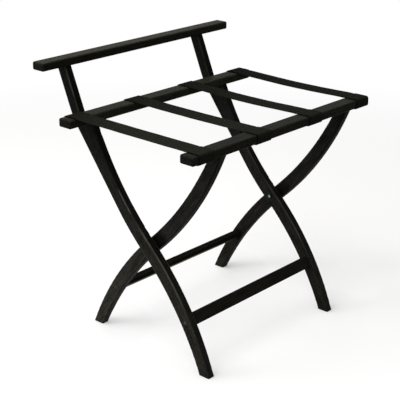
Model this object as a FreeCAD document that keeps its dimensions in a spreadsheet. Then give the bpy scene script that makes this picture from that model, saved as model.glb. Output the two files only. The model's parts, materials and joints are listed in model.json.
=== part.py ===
import FreeCAD, Part

import math
import os
import re

import Sketcher

# A folding luggage bench of black-stained wood. Two frames cross and turn on one pivot axis.
# The back frame has two long curved legs that stand at the front, pass the pivot, carry the rear
# seat rail in a notch and end under the back bar. The front frame has two shorter curved legs that
# stand at the rear and end under the front seat rail. Each frame has one stretcher low between its
# legs, and four webbing straps run over both seat rails.
# X runs along the rails, +Y points to the back bar, Z is up and 0 at the floor. Millimetres, degrees.

SIZES = {
    # Seat rails and back bar
    "rail_overhang": 63.5,          # past the outer face of the outermost leg, at each end
    "rail_depth": 36.5,
    "rail_height": 19.5,
    "rail_underside": 497.7,
    "seat_half_span": 176.7,        # pivot axis to the middle of each seat rail
    "bar_overhang": 65.5,
    "bar_depth": 34.5,
    "bar_height": 18.5,
    "bar_underside": 610.2,
    "bar_setback": 254.0,           # pivot axis to the middle of the back bar
    "rail_edge_radius": 4.0,
    # Legs
    "pivot_height": 251.4,
    "pivot_lean": 47.5,             # every leg's lean from upright where it crosses the pivot
    "legs_outer_width": 473.0,      # over the outer faces of the outermost legs
    "leg_thickness": 19.2,
    "leg_gap": 4.0,                 # between the two legs that cross at each end
    "leg_width": 32.2,              # at the pivot, square to the leg
    "foot_width": 28.6,             # along the floor
    "front_foot_reach": 171.6,      # pivot axis to the middle of a front foot
    "rear_foot_reach": 181.7,
    "front_leg_top_width": 29.2,    # along the underside of the front rail
    "notch_wall": 4.9,              # the upright step behind the rear rail
    "post_width": 27.6,             # along the underside of the back bar
    "shoulder_radius": 200.0,
    "elbow_reach": 56.0,            # above the pivot, where a back leg's under side straightens
    "leg_edge_radius": 3.0,
    "cut_edge_radius": 0.8,         # round the feet and the tops of the front legs
    # Stretchers
    "stretcher_height": 111.0,      # floor to the middle of a stretcher
    "stretcher_width": 28.0,
    "stretcher_thickness": 12.0,
    "stretcher_edge_radius": 2.0,
    # Webbing straps
    "strap_width": 45.5,
    "strap_thickness": 1.6,
    "strap_inset_low": 17.2,        # from the rails' low X ends to the first strap
    "strap_inset_high": 1.2,        # from the last strap to the rails' high X ends
    "strap_tail": 27.0,             # outer face of a rail to the end of the strap below it
    "strap_clearance": 0.3,
    # Pivot hardware
    "bolt_radius": 3.0,
    "bolt_head_radius": 5.0,
    "bolt_head_height": 2.8,
    "bolt_head_rounding": 1.6,
    "bolt_socket_radius": 2.3,
    "bolt_socket_depth": 1.6,
    "insert_radius": 5.0,
    "insert_length": 12.0,
    "washer_radius": 10.0,
    "turning_clearance": 0.1,       # between faces that slide on each other
    "fit_clearance": 0.05,          # radial, round every bolt, screw, dowel, tack and plug
    # Dowels, screws, plugs and tacks
    "dowel_radius": 4.0,
    "dowel_in_leg": 13.0,
    "dowel_in_rail": 11.0,
    "dowel_in_bar": 10.0,
    "screw_radius": 2.5,
    "screw_head_radius": 4.5,
    "screw_head_height": 3.0,
    "screw_in_stretcher": 30.0,
    "plug_radius": 5.0,
    "plug_depth": 5.0,
    "tack_radius": 0.9,
    "tack_in_rail": 9.0,
    "tack_head_radius": 4.0,
    "tack_head_height": 1.4,
    "tack_spacing": 26.0,
    "tack_setback": 15.0,           # outer face of a rail to the row of tacks
    "strap_hole_clearance": 0.3,    # radial, round a tack
}
STRAP_COUNT = 4
TINY = 0.01     # two edges or faces this close are in the same place

# Places that several pieces share, written with the names of the sizes. The origin is in the middle
# of the bench's depth, which runs from the straps on the front rail to the back face of the bar.
PIVOT_Y = ("((seat_half_span + rail_depth / 2 + strap_clearance + strap_thickness"
           " - bar_setback - bar_depth / 2) / 2)")
REAR_RAIL_Y = "(%s + seat_half_span)" % PIVOT_Y
FRONT_RAIL_Y = "(%s - seat_half_span)" % PIVOT_Y
BAR_Y = "(%s + bar_setback)" % PIVOT_Y
RAIL_LENGTH = "(legs_outer_width + 2 * rail_overhang)"
BAR_LENGTH = "(legs_outer_width + 2 * bar_overhang)"
RAIL_MIDDLE_Z = "(rail_underside + rail_height / 2)"
FLOOR_LEVEL = "(-pivot_height)"
SEAT_LEVEL = "(rail_underside - pivot_height)"
BAR_LEVEL = "(bar_underside - pivot_height)"

# The low X face of each leg. The two frames are equally wide, and the front frame is shifted along
# X by one leg and one gap, so at each end the back frame's leg is on the -X side of the other.
LEG_STEP = "(leg_thickness + leg_gap)"
LEG_X = {
    "back_left": "(-legs_outer_width / 2)",
    "front_left": "(-legs_outer_width / 2 + %s)" % LEG_STEP,
    "back_right": "(legs_outer_width / 2 - leg_thickness - %s)" % LEG_STEP,
    "front_right": "(legs_outer_width / 2 - leg_thickness)",
}
STRETCHER_LENGTH = "(legs_outer_width - 2 * leg_thickness - %s)" % LEG_STEP

# Where a stretcher crosses the legs: the middle line of a leg is close to an arc that leaves the
# pivot axis at pivot_lean and ends in the middle of the foot.
STRETCHER_DROP = "(pivot_height - stretcher_height)"


def curve_radius(foot_reach):
    return ("((%s^2 + pivot_height^2) / 2 / (pivot_height * sin(pivot_lean) - %s * cos(pivot_lean)))"
            % (foot_reach, foot_reach))


def stretcher_reach(foot_reach):
    """Pivot axis to the middle of the stretcher, along Y."""
    radius = curve_radius(foot_reach)
    return ("(sqrt(%s^2 - (%s * sin(pivot_lean) - %s)^2) - %s * cos(pivot_lean))"
            % (radius, radius, STRETCHER_DROP, radius))


def stretcher_lean(foot_reach):
    return "asin(sin(pivot_lean) - %s / %s)" % (STRETCHER_DROP, curve_radius(foot_reach))


FRONT_STRETCHER_REACH = stretcher_reach("front_foot_reach")
REAR_STRETCHER_REACH = stretcher_reach("rear_foot_reach")

STRAP_PITCH = ("((%s - strap_inset_low - strap_inset_high - strap_width) / %d)"
               % (RAIL_LENGTH, STRAP_COUNT - 1))
STRAP_X = ["(-%s / 2 + strap_inset_low + strap_width / 2 + %d * %s)" % (RAIL_LENGTH, number, STRAP_PITCH)
           for number in range(STRAP_COUNT)]
TACK_X = ["(%s %s tack_spacing / 2)" % (strap, side) for strap in STRAP_X for side in "-+"]

X_AXIS = FreeCAD.Vector(1, 0, 0)
Y_AXIS = FreeCAD.Vector(0, 1, 0)
Z_AXIS = FreeCAD.Vector(0, 0, 1)

doc = FreeCAD.newDocument("LuggageBench")
sheet = doc.addObject("Spreadsheet::Sheet", "Sizes")
for row, (size_name, size_value) in enumerate(SIZES.items(), start=1):
    sheet.set("A%d" % row, size_name)
    sheet.set("B%d" % row, str(size_value))
    sheet.setAlias("B%d" % row, size_name)
doc.recompute()


def with_cells(expression):
    """The expression with each size's name pointing at its cell."""
    def point(match):
        word = match.group(0)
        return "Sizes." + word if word in SIZES else word
    return re.sub(r"[a-z][a-z_]*", point, expression)


def bind(thing, prop, expression):
    thing.setExpression(prop, with_cells(expression))


def value_of(expression):
    """The number that an expression gives, for the first shape of a sketch."""
    return float(sheet.evalExpression(with_cells(expression)))


def place(thing, x="0", y="0", z="0"):
    """Bind where a piece's own origin lies in the bench."""
    bind(thing, "Placement.Base.x", x)
    bind(thing, "Placement.Base.y", y)
    bind(thing, "Placement.Base.z", z)


def turn(thing, axis, angle):
    """Turn a piece about an axis through its own origin by a positive angle."""
    thing.Placement = FreeCAD.Placement(FreeCAD.Vector(), FreeCAD.Rotation(axis, 1.0))
    bind(thing, "Placement.Rotation.Angle", angle)


# ---------------------------------------------------------------------------------------------
# Bodies, sketches and bores

def new_body(label):
    body = doc.addObject("PartDesign::Body", label)
    body.Label = label
    return body


def origin_plane(body, role):
    for feature in body.Origin.OriginFeatures:
        if feature.Role == role:
            return feature
    raise RuntimeError("%s has no %s" % (body.Label, role))


def new_sketch(body, name, role):
    sketch = body.newObject("Sketcher::SketchObject", body.Label + "_" + name)
    sketch.AttachmentSupport = (origin_plane(body, role), "")
    sketch.MapMode = "FlatFace"
    return sketch


def named_constraint(sketch, name, expression, *arguments):
    index = sketch.addConstraint(Sketcher.Constraint(*arguments))
    sketch.renameConstraint(index, name)
    bind(sketch, "Constraints." + name, expression)


def centred_rectangle(sketch, width, height):
    """A rectangle about the sketch's origin, its sizes given as expressions."""
    half_width = value_of(width) / 2
    half_height = value_of(height) / 2
    corners = [
        FreeCAD.Vector(-half_width, -half_height, 0),
        FreeCAD.Vector(half_width, -half_height, 0),
        FreeCAD.Vector(half_width, half_height, 0),
        FreeCAD.Vector(-half_width, half_height, 0),
    ]
    for side in range(4):
        sketch.addGeometry(Part.LineSegment(corners[side], corners[(side + 1) % 4]), False)
    for side in range(4):
        sketch.addConstraint(Sketcher.Constraint("Coincident", side, 2, (side + 1) % 4, 1))
    for side, direction in enumerate(["Horizontal", "Vertical", "Horizontal", "Vertical"]):
        sketch.addConstraint(Sketcher.Constraint(direction, side))
    sketch.addConstraint(Sketcher.Constraint("Symmetric", 0, 1, 2, 1, -1, 1))
    named_constraint(sketch, "width", width, "DistanceX", 0, 1, 0, 2, 2 * half_width)
    named_constraint(sketch, "height", height, "DistanceY", 1, 1, 1, 2, 2 * half_height)


def add_pad(body, sketch, length, both_ways):
    pad = body.newObject("PartDesign::Pad", body.Label + "_pad")
    pad.Profile = sketch
    pad.Midplane = both_ways
    bind(pad, "Length", length)
    doc.recompute()
    return pad


def add_rectangle_pad(body, depth, height, length):
    """A bar along X about the body's origin, with its depth along Y and its height along Z."""
    sketch = new_sketch(body, "section", "YZ_Plane")
    centred_rectangle(sketch, depth, height)
    return add_pad(body, sketch, length, True)


def round_edges(body, base, name, radius, wanted):
    """Round the edges of the last feature that the test picks."""
    picked = [number for number, edge in enumerate(base.Shape.Edges, start=1) if wanted(edge)]
    fillet = body.newObject("PartDesign::Fillet", body.Label + "_" + name)
    fillet.Base = (base, ["Edge%d" % number for number in picked])
    bind(fillet, "Radius", radius)
    doc.recompute()
    return fillet


# From a cylinder's own Z axis to the way that a hole or a fastener points.
POINTING = {
    "+X": FreeCAD.Rotation(Y_AXIS, 90),
    "-X": FreeCAD.Rotation(Y_AXIS, -90),
    "+Z": FreeCAD.Rotation(),
    "-Z": FreeCAD.Rotation(X_AXIS, 180),
}


def add_primitive(body, kind, name, start, pointing, sizes):
    """A primitive that starts at a point of the body's own frame, all of it given as expressions."""
    feature = body.newObject("PartDesign::" + kind, body.Label + "_" + name)
    feature.AttachmentSupport = (origin_plane(body, "XY_Plane"), "")
    feature.MapMode = "FlatFace"
    feature.AttachmentOffset = FreeCAD.Placement(FreeCAD.Vector(), POINTING[pointing])
    for axis, expression in zip("xyz", start):
        bind(feature, "AttachmentOffset.Base." + axis, expression)
    for prop, expression in sizes.items():
        bind(feature, prop, expression)
    doc.recompute()
    return feature


def bore(body, name, start, pointing, radius, depth):
    before = body.Shape.Volume
    add_primitive(body, "SubtractiveCylinder", name, start, pointing,
                  {"Radius": radius, "Height": depth})
    if body.Shape.Volume >= before:
        raise RuntimeError("%s of %s cuts nothing" % (name, body.Label))


# ---------------------------------------------------------------------------------------------
# Leg outlines. Each is drawn about the pivot axis, which is the sketch's origin: the sketch's
# first axis is Y and its second is Z. A cross line through the origin, square to the leg, holds
# the centres of the arcs that meet there, so each side of the leg runs smoothly past the pivot.

def leftward(direction):
    return FreeCAD.Vector(-direction.y, direction.x, 0)


class LegOutline:
    """The closed side outline of one leg, drawn edge by edge with named sizes.

    way is 1 for a leg whose top leans to +Y and -1 for one whose top leans to -Y. The leg's under
    side faces the floor above the pivot, and its over side is the other one.
    """

    def __init__(self, sketch, way):
        self.sketch = sketch
        self.way = way
        lean = math.radians(value_of("pivot_lean"))
        half = value_of("leg_width") / 2
        self.climb = FreeCAD.Vector(way * math.sin(lean), math.cos(lean), 0)
        self.over = leftward(self.climb) * (way * half)
        self.under = -self.over
        self.cross = sketch.addGeometry(Part.LineSegment(self.under, self.over), True)
        self.constrain("Symmetric", self.cross, 1, self.cross, 2, -1, 1)
        named_constraint(sketch, "leg_width", "leg_width", "Distance", self.cross, 2 * half)
        angle = "180 - pivot_lean" if way > 0 else "pivot_lean"
        named_constraint(sketch, "cross_angle", angle, "Angle", self.cross,
                         math.radians(value_of(angle)))

    def constrain(self, *arguments):
        self.sketch.addConstraint(Sketcher.Constraint(*arguments))

    def join(self, first, first_vertex, second, second_vertex):
        self.constrain("Coincident", first, first_vertex, second, second_vertex)

    def smooth_join(self, first, first_vertex, second, second_vertex):
        self.constrain("Tangent", first, first_vertex, second, second_vertex)

    def point(self, along, up):
        """A point from two expressions, along counted to the side that the leg's top leans to."""
        return FreeCAD.Vector(self.way * value_of(along), value_of(up), 0)

    def add_line(self, first, last):
        return self.sketch.addGeometry(Part.LineSegment(first, last), False)

    def add_arc(self, first, last, centre):
        """The shorter arc between two points, with the vertex numbers of the first and the last."""
        start = first - centre
        end = last - centre
        counter_clockwise = start.x * end.y > start.y * end.x
        if not counter_clockwise:
            start, end = end, start
        circle = Part.Circle(centre, Z_AXIS, start.Length)
        angles = [math.atan2(spoke.y, spoke.x) for spoke in (start, end)]
        index = self.sketch.addGeometry(Part.ArcOfCircle(circle, *angles), False)
        return (index, 1, 2) if counter_clockwise else (index, 2, 1)

    def arc_from_cross(self, cross_vertex, far_point):
        """An arc from one end of the cross line, square to it, to a point.

        Gives the arc's index and the vertex number of its far end.
        """
        base = self.under if cross_vertex == 1 else self.over
        outward = FreeCAD.Vector(base).normalize()
        chord = far_point - base
        centre = base + outward * (chord.dot(chord) / (2 * chord.dot(outward)))
        index, base_vertex, far_vertex = self.add_arc(base, far_point, centre)
        self.join(index, base_vertex, self.cross, cross_vertex)
        self.constrain("PointOnObject", index, 3, self.cross)
        return index, far_vertex

    def pin(self, name, index, vertex, along=None, up=None):
        """Hold a vertex at a named distance from the pivot axis along Y, along Z, or both."""
        held = [("DistanceX", "_along", along, self.way), ("DistanceY", "_up", up, 1)]
        for kind, suffix, expression, sign in held:
            if expression is None:
                continue
            signed = expression if sign > 0 else "-(%s)" % expression
            ends = (-1, 1, index, vertex)
            if value_of(signed) < 0:
                signed = "-(%s)" % signed
                ends = (index, vertex, -1, 1)
            named_constraint(self.sketch, name + suffix, signed, kind, *ends, value_of(signed))


def draw_cut(outline, name, level, near, far, under_is_near):
    """A level cut across the leg and the two arcs that run to it from the cross line."""
    near_point = outline.point(near, level)
    far_point = outline.point(far, level)
    near_arc, near_vertex = outline.arc_from_cross(1 if under_is_near else 2, near_point)
    far_arc, far_vertex = outline.arc_from_cross(2 if under_is_near else 1, far_point)
    cut = outline.add_line(near_point, far_point)
    outline.join(near_arc, near_vertex, cut, 1)
    outline.join(far_arc, far_vertex, cut, 2)
    outline.constrain("Horizontal", cut)
    outline.pin(name + "_near", cut, 1, near, level)
    outline.pin(name + "_far", cut, 2, far)


def draw_foot(outline, reach):
    draw_cut(outline, "foot", FLOOR_LEVEL, "-(%s - foot_width / 2)" % reach,
             "-(%s + foot_width / 2)" % reach, True)


def draw_front_leg_top(outline):
    draw_cut(outline, "top", SEAT_LEVEL, "seat_half_span - front_leg_top_width / 2",
             "seat_half_span + front_leg_top_width / 2", False)


def draw_back_leg_top(outline):
    """The notch for the rear rail, the post above it and the shouldered back edge.

    The two edges of the post are parallel. Its back edge would meet the straight flank at a sharp
    corner level with the underside of the rail, and the shoulder's arc rounds that corner off. The
    flank points at the elbow, which lies straight up the leg from the under end of the cross line.
    """
    notch_front = outline.point("seat_half_span - rail_depth / 2", SEAT_LEVEL)
    notch_back = outline.point("seat_half_span + rail_depth / 2", SEAT_LEVEL)
    wall_top = outline.point("seat_half_span + rail_depth / 2", SEAT_LEVEL + " + notch_wall")
    cap_front = outline.point("bar_setback - post_width / 2", BAR_LEVEL)
    cap_back = outline.point("bar_setback + post_width / 2", BAR_LEVEL)
    post_slope = (cap_front - wall_top).normalize()
    corner = cap_back - post_slope * ((cap_back.y - notch_back.y) / post_slope.y)

    elbow_reach = value_of("elbow_reach")
    elbow = outline.under + outline.climb * elbow_reach
    flank_slope = (corner - elbow).normalize()
    arc_end = elbow + flank_slope * elbow_reach
    radius = value_of("shoulder_radius")
    tangent_length = radius * math.tan(flank_slope.getAngle(post_slope) / 2)
    shoulder_low = corner - flank_slope * tangent_length
    shoulder_high = corner + post_slope * tangent_length
    bend = 1 if flank_slope.x > post_slope.x else -1
    shoulder_centre = shoulder_low + leftward(flank_slope) * (bend * radius)

    front_arc, front_vertex = outline.arc_from_cross(2, notch_front)
    back_arc, back_vertex = outline.arc_from_cross(1, arc_end)
    shelf = outline.add_line(notch_front, notch_back)
    wall = outline.add_line(notch_back, wall_top)
    front = outline.add_line(wall_top, cap_front)
    cap = outline.add_line(cap_front, cap_back)
    back = outline.add_line(shoulder_high, cap_back)
    flank = outline.add_line(arc_end, shoulder_low)
    shoulder, low_vertex, high_vertex = outline.add_arc(shoulder_low, shoulder_high, shoulder_centre)
    sharp = outline.sketch.addGeometry(Part.Point(corner), True)
    guide = outline.sketch.addGeometry(Part.LineSegment(outline.under, elbow), True)

    outline.join(front_arc, front_vertex, shelf, 1)
    outline.join(shelf, 2, wall, 1)
    outline.join(wall, 2, front, 1)
    outline.join(front, 2, cap, 1)
    outline.join(cap, 2, back, 2)
    outline.smooth_join(back, 1, shoulder, high_vertex)
    outline.smooth_join(flank, 2, shoulder, low_vertex)
    outline.smooth_join(flank, 1, back_arc, back_vertex)
    outline.join(guide, 1, outline.cross, 1)
    outline.constrain("Perpendicular", guide, outline.cross)
    outline.constrain("PointOnObject", guide, 2, flank)
    outline.constrain("Horizontal", shelf)
    outline.constrain("Vertical", wall)
    outline.constrain("Horizontal", cap)
    outline.constrain("Parallel", front, back)
    for line in (flank, back, shelf):
        outline.constrain("PointOnObject", sharp, 1, line)
    outline.pin("notch_front", shelf, 1, "seat_half_span - rail_depth / 2", SEAT_LEVEL)
    outline.pin("notch_back", shelf, 2, "seat_half_span + rail_depth / 2")
    outline.pin("wall_top", wall, 2, up=SEAT_LEVEL + " + notch_wall")
    outline.pin("cap_front", cap, 1, "bar_setback - post_width / 2", BAR_LEVEL)
    outline.pin("cap_back", cap, 2, "bar_setback + post_width / 2")
    named_constraint(outline.sketch, "elbow_reach", "elbow_reach", "Distance", guide, elbow_reach)
    named_constraint(outline.sketch, "shoulder_radius", "shoulder_radius", "Radius", shoulder, radius)


# ---------------------------------------------------------------------------------------------
# Wooden pieces

def is_long_edge(edge):
    """True for an edge of a leg's outline, apart from those of its level cuts."""
    return edge.BoundBox.XLength < TINY and edge.BoundBox.ZLength > TINY


def lies_level(edge, level):
    box = edge.BoundBox
    return abs(box.ZMin - level) < TINY and abs(box.ZMax - level) < TINY


def new_leg(label, way, foot_reach, draw_top, eased_cuts):
    """A leg's body. Its origin is on the pivot axis and on the leg's low X face."""
    body = new_body(label)
    sketch = new_sketch(body, "outline", "YZ_Plane")
    outline = LegOutline(sketch, way)
    draw_foot(outline, foot_reach)
    draw_top(outline)
    doc.recompute()
    blank = add_pad(body, sketch, "leg_thickness", False)
    rounded = round_edges(body, blank, "rounding", "leg_edge_radius", is_long_edge)
    levels = [value_of(level) for level in eased_cuts]
    round_edges(body, rounded, "cut_rounding", "cut_edge_radius",
                lambda edge: any(lies_level(edge, level) for level in levels))
    return body


def drill_leg(body, outer_is_low, stretcher_y):
    """The recessed hole for the stretcher's screw, from the leg's outer face."""
    face = "0" if outer_is_low else "leg_thickness"
    inward = "+X" if outer_is_low else "-X"
    start = (face, stretcher_y, "-" + STRETCHER_DROP)
    bore(body, "screw_hole", start, inward, "screw_radius + fit_clearance", "leg_thickness")
    bore(body, "screw_recess", start, inward, "plug_radius + fit_clearance",
         "plug_depth + screw_head_height")


def drill_dowel(body, name, y, level):
    bore(body, name, ("leg_thickness / 2", y, level), "-Z", "dowel_radius + fit_clearance",
         "dowel_in_leg")


def drill_pivot(body, holds_insert, inner_is_low):
    """A clear hole for the bolt, or a blind one for the threaded insert from the inner face."""
    face = "0" if inner_is_low else "leg_thickness"
    outward = "+X" if inner_is_low else "-X"
    radius = "insert_radius + fit_clearance" if holds_insert else "bolt_radius + fit_clearance"
    depth = "insert_length" if holds_insert else "leg_thickness"
    bore(body, "pivot_hole", (face, "0", "0"), outward, radius, depth)


def new_back_leg(label, side, outer_is_low, holds_insert):
    body = new_leg(label, 1, "front_foot_reach", draw_back_leg_top, [FLOOR_LEVEL])
    drill_leg(body, outer_is_low, "-" + FRONT_STRETCHER_REACH)
    drill_dowel(body, "rail_dowel_hole", "seat_half_span", SEAT_LEVEL)
    drill_dowel(body, "bar_dowel_hole", "bar_setback", BAR_LEVEL)
    drill_pivot(body, holds_insert, not outer_is_low)
    place(body, LEG_X[side], PIVOT_Y, "pivot_height")
    return body


def new_front_leg(label, side, outer_is_low, holds_insert):
    body = new_leg(label, -1, "rear_foot_reach", draw_front_leg_top,
                   [FLOOR_LEVEL, SEAT_LEVEL])
    drill_leg(body, outer_is_low, REAR_STRETCHER_REACH)
    drill_dowel(body, "rail_dowel_hole", "-seat_half_span", SEAT_LEVEL)
    drill_pivot(body, holds_insert, not outer_is_low)
    place(body, LEG_X[side], PIVOT_Y, "pivot_height")
    return body


def new_bar(label, depth, height, length):
    """A straight bar along X with every edge rounded, its origin in its middle."""
    body = new_body(label)
    blank = add_rectangle_pad(body, depth, height, length)
    round_edges(body, blank, "rounding", "rail_edge_radius", lambda edge: True)
    return body


def drill_under(body, height, legs, depth):
    """Dowel holes in the underside of a bar, one over each leg."""
    for leg in legs:
        start = (LEG_X[leg] + " + leg_thickness / 2", "0", "-%s / 2" % height)
        bore(body, leg + "_dowel_hole", start, "+Z", "dowel_radius + fit_clearance", depth)


def new_seat_rail(label, y, legs, tack_y):
    body = new_bar(label, "rail_depth", "rail_height", RAIL_LENGTH)
    drill_under(body, "rail_height", legs, "dowel_in_rail")
    for number, x in enumerate(TACK_X, start=1):
        bore(body, "tack_hole_%d" % number, (x, tack_y, "-rail_height / 2"), "+Z",
             "tack_radius + fit_clearance", "tack_in_rail")
    place(body, "0", y, RAIL_MIDDLE_Z)
    return body


def new_back_bar(label):
    body = new_bar(label, "bar_depth", "bar_height", BAR_LENGTH)
    drill_under(body, "bar_height", ["back_left", "back_right"], "dowel_in_bar")
    place(body, "0", BAR_Y, "bar_underside + bar_height / 2")
    return body


def new_stretcher(label, low_leg, y, lean, axis):
    """A flat slat between the inner faces of two legs, leaning as they do where it meets them."""
    body = new_body(label)
    blank = add_rectangle_pad(body, "stretcher_thickness", "stretcher_width", STRETCHER_LENGTH)
    round_edges(body, blank, "rounding", "stretcher_edge_radius",
                lambda edge: edge.BoundBox.XLength > TINY)
    half = STRETCHER_LENGTH + " / 2"
    for end, pointing in ((("-" + half), "+X"), (half, "-X")):
        bore(body, "screw_hole_" + ("low" if pointing == "+X" else "high"), (end, "0", "0"),
             pointing, "screw_radius + fit_clearance", "screw_in_stretcher")
    turn(body, axis, lean)
    place(body, LEG_X[low_leg] + " + leg_thickness + " + half, y, "stretcher_height")
    return body


# ---------------------------------------------------------------------------------------------
# Webbing straps: each is one closed band round both seat rails, open between its two tails below.

def is_corner(edge):
    """True for an edge along the width of a strap."""
    return edge.BoundBox.XLength > TINY


def new_strap(label, x):
    body = new_body(label)
    reach = "(2 * seat_half_span + rail_depth + 2 * strap_clearance)"
    drop = "(rail_height + 2 * strap_clearance)"
    add_rectangle_pad(body, reach + " + 2 * strap_thickness", drop + " + 2 * strap_thickness",
                      "strap_width")
    hollow_sketch = new_sketch(body, "hollow_section", "YZ_Plane")
    centred_rectangle(hollow_sketch, reach, drop)
    hollow = body.newObject("PartDesign::Pocket", label + "_hollow")
    hollow.Profile = hollow_sketch
    hollow.Midplane = True
    bind(hollow, "Length", "2 * strap_width")
    doc.recompute()
    half_reach = value_of(reach) / 2
    inner = round_edges(body, hollow, "inner_rounding", "rail_edge_radius + strap_clearance",
                        lambda edge: is_corner(edge) and abs(edge.BoundBox.YMin) < half_reach + TINY)
    round_edges(body, inner, "outer_rounding",
                "rail_edge_radius + strap_clearance + strap_thickness",
                lambda edge: is_corner(edge) and abs(edge.BoundBox.YMin) > half_reach + TINY)
    opening = "(2 * seat_half_span + rail_depth - 2 * strap_tail)"
    floor = "(-rail_height / 2 - strap_clearance - strap_thickness)"
    add_primitive(body, "SubtractiveBox", "opening",
                  ("-strap_width / 2", "-%s / 2" % opening, floor), "+Z",
                  {"Length": "strap_width", "Width": opening, "Height": "strap_thickness"})
    tack_reach = "(seat_half_span + rail_depth / 2 - tack_setback)"
    for row_y in ("-" + tack_reach, tack_reach):
        for side in "-+":
            name = "tack_hole_%s_%s" % ("front" if row_y[0] == "-" else "rear",
                                        "low" if side == "-" else "high")
            bore(body, name, (side + "tack_spacing / 2", row_y, floor), "+Z",
                 "tack_radius + strap_hole_clearance", "strap_thickness")
    place(body, x, PIVOT_Y, RAIL_MIDDLE_Z)
    return body


# ---------------------------------------------------------------------------------------------
# Fasteners. Each is built about its own axis and then set in place by its seat.

def new_cylinder(name, radius, height):
    cylinder = doc.addObject("Part::Cylinder", name)
    bind(cylinder, "Radius", radius)
    bind(cylinder, "Height", height)
    return cylinder


def point_along(thing, pointing):
    thing.Placement = FreeCAD.Placement(FreeCAD.Vector(), POINTING[pointing])


def new_group(label, members):
    """One node of several equal, separate solids."""
    group = doc.addObject("Part::Compound", label)
    group.Links = members
    group.Label = label
    return group


def new_tube(label, outer_radius, inner_radius, length, pointing, x):
    outer = new_cylinder(label + "_outside", outer_radius, length)
    inner = new_cylinder(label + "_inside", inner_radius, length)
    tube = doc.addObject("Part::Cut", label)
    tube.Base = outer
    tube.Tool = inner
    tube.Label = label
    point_along(tube, pointing)
    place(tube, x, PIVOT_Y, "pivot_height")
    return tube


def new_pivot_bolt(label, pointing, x):
    """A button-head bolt. Its origin is under the head, and its shank runs along its own Z."""
    body = new_body(label)
    add_primitive(body, "AdditiveCylinder", "shank", ("0", "0", "0"), "+Z",
                  {"Radius": "bolt_radius",
                   "Height": "turning_clearance + %s + insert_length" % LEG_STEP})
    head = add_primitive(body, "AdditiveCylinder", "head", ("0", "0", "-bolt_head_height"), "+Z",
                         {"Radius": "bolt_head_radius", "Height": "bolt_head_height"})
    top = -value_of("bolt_head_height")
    round_edges(body, head, "dome", "bolt_head_rounding",
                lambda edge: edge.BoundBox.ZMax < top + TINY)
    add_primitive(body, "SubtractivePrism", "socket", ("0", "0", "-bolt_head_height"), "+Z",
                  {"Circumradius": "bolt_socket_radius", "Height": "bolt_socket_depth"})
    point_along(body, pointing)
    place(body, x, PIVOT_Y, "pivot_height")
    return body


def new_pivot_set(side, outer_leg, inner_leg, outer_is_low):
    """Bolt, spacer washer and threaded insert of one end. The insert is in the outer leg."""
    inward = "+" if outer_is_low else "-"
    outer_face = LEG_X[outer_leg] + (" + leg_thickness" if outer_is_low else "")
    head_seat = LEG_X[inner_leg] + (" + leg_thickness + turning_clearance" if outer_is_low
                                    else " - turning_clearance")
    outward = "-X" if outer_is_low else "+X"
    bolt = new_pivot_bolt("pivot_bolt_" + side, outward, head_seat)
    washer = new_tube("pivot_washer_" + side, "washer_radius", "bolt_radius + fit_clearance",
                      "leg_gap - turning_clearance", inward + "X", outer_face)
    insert = new_tube("pivot_insert_" + side, "insert_radius", "bolt_radius + fit_clearance",
                      "insert_length", outward, outer_face)
    return [bolt, washer, insert]


def new_dowels(label, places, below, above, level):
    """Upright dowels that start below a level and end above it. places are pairs of X and Y."""
    dowels = []
    for number, (x, y) in enumerate(places, start=1):
        dowel = new_cylinder("%s_%d" % (label, number), "dowel_radius", "%s + %s" % (below, above))
        place(dowel, x, y, "%s - %s" % (level, below))
        dowels.append(dowel)
    return new_group(label, dowels)


def new_headed_pin(name, shank_radius, shank_length, head_radius, head_height):
    """A round shank with a flat round head, its origin on the outside of the head."""
    head = new_cylinder(name + "_head", head_radius, head_height)
    shank = new_cylinder(name + "_shank", shank_radius, shank_length)
    place(shank, "0", "0", head_height)
    headed_pin = doc.addObject("Part::Fuse", name)
    headed_pin.Base = head
    headed_pin.Tool = shank
    return headed_pin


def new_stretcher_fasteners(name, low_leg, high_leg, y):
    """The screws through both outer faces into a stretcher's ends, and the plugs over them."""
    screws = []
    plugs = []
    ends = [("low", LEG_X[low_leg], "+X", "+"),
            ("high", LEG_X[high_leg] + " + leg_thickness", "-X", "-")]
    for end, face, pointing, sign in ends:
        screw = new_headed_pin("%s_screw_%s" % (name, end), "screw_radius",
                               "leg_thickness - plug_depth - screw_head_height + screw_in_stretcher",
                               "screw_head_radius", "screw_head_height")
        point_along(screw, pointing)
        place(screw, "%s %s plug_depth" % (face, sign), y, "stretcher_height")
        screws.append(screw)
        plug = new_cylinder("%s_plug_%s" % (name, end), "plug_radius", "plug_depth")
        point_along(plug, pointing)
        place(plug, face, y, "stretcher_height")
        plugs.append(plug)
    return [new_group(name + "_screws", screws), new_group(name + "_plugs", plugs)]


def new_tacks(label, y):
    """Tacks up through the strap tails into a seat rail."""
    tacks = []
    for number, x in enumerate(TACK_X, start=1):
        tack = new_headed_pin("%s_%d" % (label, number), "tack_radius",
                              "strap_thickness + strap_clearance + tack_in_rail",
                              "tack_head_radius", "tack_head_height")
        place(tack, x, y, "rail_underside - strap_clearance - strap_thickness - tack_head_height")
        tacks.append(tack)
    return new_group(label, tacks)


# ---------------------------------------------------------------------------------------------
# The bench

FRONT_TACK_OFFSET = "(tack_setback - rail_depth / 2)"
REAR_TACK_OFFSET = "(rail_depth / 2 - tack_setback)"
DOWEL_X = {leg: x + " + leg_thickness / 2" for leg, x in LEG_X.items()}


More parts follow.
